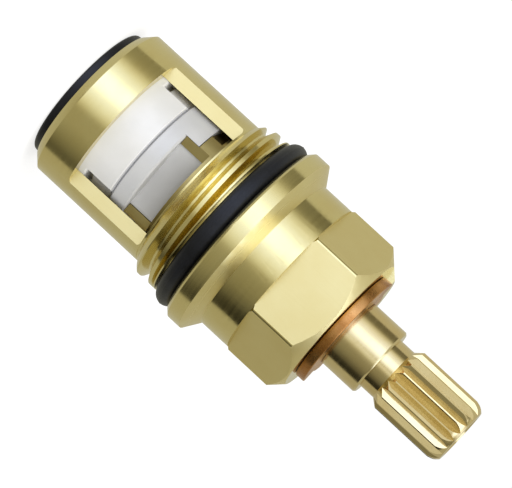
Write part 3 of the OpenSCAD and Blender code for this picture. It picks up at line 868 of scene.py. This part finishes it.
# %% The tent's paper: cards, lens opening and table
CARD_EDGE = (0.93, 0.97)  # the cards start and are full at these cosines to the side
CARD_LEVEL = 0.6          # they take the paper down to this share
CARD_FOOT = 0             # they end at this height, in mm, and the table shows below
CARD_FADE = 5             # with an edge this soft
LENS_HEIGHT = 48          # the opening for the lens: its height,
LENS_INNER = 8            # the radius where it is darkest,
LENS_OUTER = 30           # the radius where it ends,
LENS_LEVEL = 0.37         # and the share of light that is left
TABLE_EDGE = (-0.1, -0.75)    # the table grows brighter to the front, between these Y directions
TABLE_LEVELS = (0.13, 0.44)

sideways = add(tree, "ShaderNodeMath", (0, facing.outputs["X"]), operation="ABSOLUTE")
low = add(tree, "ShaderNodeMapRange", ("Value", axes.outputs["Z"]),
          ("From Min", (CARD_FOOT + CARD_FADE) * MM), ("From Max", (CARD_FOOT - CARD_FADE) * MM))
card_level = add(tree, "ShaderNodeMapRange", ("Value", low), ("To Min", CARD_LEVEL), ("To Max", 1.0))
card = add(tree, "ShaderNodeMapRange", ("Value", sideways), ("From Min", CARD_EDGE[0]),
           ("From Max", CARD_EDGE[1]), ("To Min", 1.0), ("To Max", card_level))
carded = add(tree, "ShaderNodeMath", (0, open_level), (1, card), operation="MULTIPLY")
lens_place = (0, -TENT_RADIUS * MM, LENS_HEIGHT * MM)
to_lens = add(tree, "ShaderNodeVectorMath", (0, place), (1, lens_place), operation="DISTANCE")
lens_hole = add(tree, "ShaderNodeMapRange", ("Value", to_lens.outputs["Value"]),
                ("From Min", LENS_INNER * MM), ("From Max", LENS_OUTER * MM),
                ("To Min", LENS_LEVEL), ("To Max", 1.0))
shaded = add(tree, "ShaderNodeMath", (0, carded), (1, lens_hole), operation="MULTIPLY")
table_front = add(tree, "ShaderNodeMapRange", ("Value", facing.outputs["Y"]), ("From Min", TABLE_EDGE[0]),
                  ("From Max", TABLE_EDGE[1]), ("To Min", TABLE_LEVELS[0]), ("To Max", TABLE_LEVELS[1]))
table = add(tree, "ShaderNodeMath", (0, table_front), (1, low), operation="MULTIPLY")
front_level = add(tree, "ShaderNodeMath", (0, shaded), (1, table), operation="MAXIMUM")
print("cards, lens opening and table added")

# %% The tent's paper: back, top and tint
WALL_LEVELS = (0.7, 0.52)     # level of the back wall at its -X and +X ends
BACK_EDGE = (0.05, 0.14)  # the back wall fades in between these Y directions
TOP_SIDE = Vector((0.0, 0.2, 0.97)).normalized()
TOP_EDGE = (0.84, 0.95)   # the bright top starts and is full at these cosines to its middle
TOP_LEVEL = 2.6
TINT_LEVELS = (0.3, 1.8)  # paper at the first level is warm, at the second cool
WARM_PAPER = "#fffbdc"
COOL_PAPER = "#d9e3ff"

wall_level = add(tree, "ShaderNodeMapRange", ("Value", facing.outputs["X"]), ("From Min", -1.0),
                 ("To Min", WALL_LEVELS[0]), ("To Max", WALL_LEVELS[1]))
behind = add(tree, "ShaderNodeMapRange", ("Value", facing.outputs["Y"]), ("From Min", BACK_EDGE[0]),
             ("From Max", BACK_EDGE[1]), ("To Max", wall_level), interpolation_type="SMOOTHSTEP")
to_top = add(tree, "ShaderNodeVectorMath", (0, direction), (1, TOP_SIDE), operation="DOT_PRODUCT")
top_box = add(tree, "ShaderNodeMapRange", ("Value", to_top.outputs["Value"]), ("From Min", TOP_EDGE[0]),
              ("From Max", TOP_EDGE[1]), ("To Max", TOP_LEVEL), interpolation_type="SMOOTHSTEP")
back_level = add(tree, "ShaderNodeMath", (0, behind), (1, top_box), operation="MAXIMUM")
tent_level = add(tree, "ShaderNodeMath", (0, front_level), (1, back_level), operation="MAXIMUM")
tint = add(tree, "ShaderNodeMapRange", ("Value", tent_level), ("From Min", TINT_LEVELS[0]),
           ("From Max", TINT_LEVELS[1]))
shade = add(tree, "ShaderNodeMix", ("Factor", tint), (MIX_A, linear(WARM_PAPER)),
            (MIX_B, linear(COOL_PAPER)), data_type="RGBA")
paper = add(tree, "ShaderNodeEmission", ("Color", shade.outputs[MIX_RESULT]), ("Strength", tent_level))
add(tree, "ShaderNodeOutputMaterial", ("Surface", paper))
print("paper has", len(tree.nodes), "nodes")

# %% The tent's skin
TENT_STEPS = 96
DOME_STEPS = 16

outline = [(0, -TENT_WALL), (TENT_RADIUS, -TENT_WALL), (TENT_RADIUS, TENT_WALL)]
for step in range(1, DOME_STEPS + 1):
    lean = math.radians(90 * step / DOME_STEPS)
    outline.append((TENT_RADIUS * math.cos(lean), TENT_WALL + TENT_RADIUS * math.sin(lean)))
tent = turned("light_tent", outline, TENT_STEPS, closed=False)
paint(tent, tent_material)
tent.visible_camera = False
tent.visible_diffuse = False
tent.visible_transmission = False
tent.visible_volume_scatter = False
tent.visible_shadow = False
print("tent is", 2 * TENT_RADIUS, "mm across")

# %% The lamps
LAMPS = [
    # name, direction from the part, distance in m, size in m, power in W
    ("key", Vector((-0.35, -0.75, 0.55)), 0.6, 0.5, 2.2),
    ("fill", Vector((0.8, -0.3, 0.5)), 0.7, 0.6, 0.8),
]
part_middle = (cad_box[0] + cad_box[1]) / 2
for name, lamp_side, distance, width, power in LAMPS:
    lamp = bpy.data.lights.new(name, "AREA")
    lamp.size = width
    lamp.energy = power
    lamp_object = bpy.data.objects.new(name, lamp)
    scene.collection.objects.link(lamp_object)
    lamp_object.location = part_middle + lamp_side.normalized() * distance
    lamp_object.rotation_euler = lamp_side.to_track_quat("Z", "Y").to_euler()
    lamp_object.visible_camera = False
    lamp_object.visible_glossy = False
print("lamps:", len(LAMPS))

# %% [markdown]
# ## Finish
#
# The view transform stays plain, so that a colour renders as it is written.

# %% Finish
scene.view_settings.view_transform = "Standard"
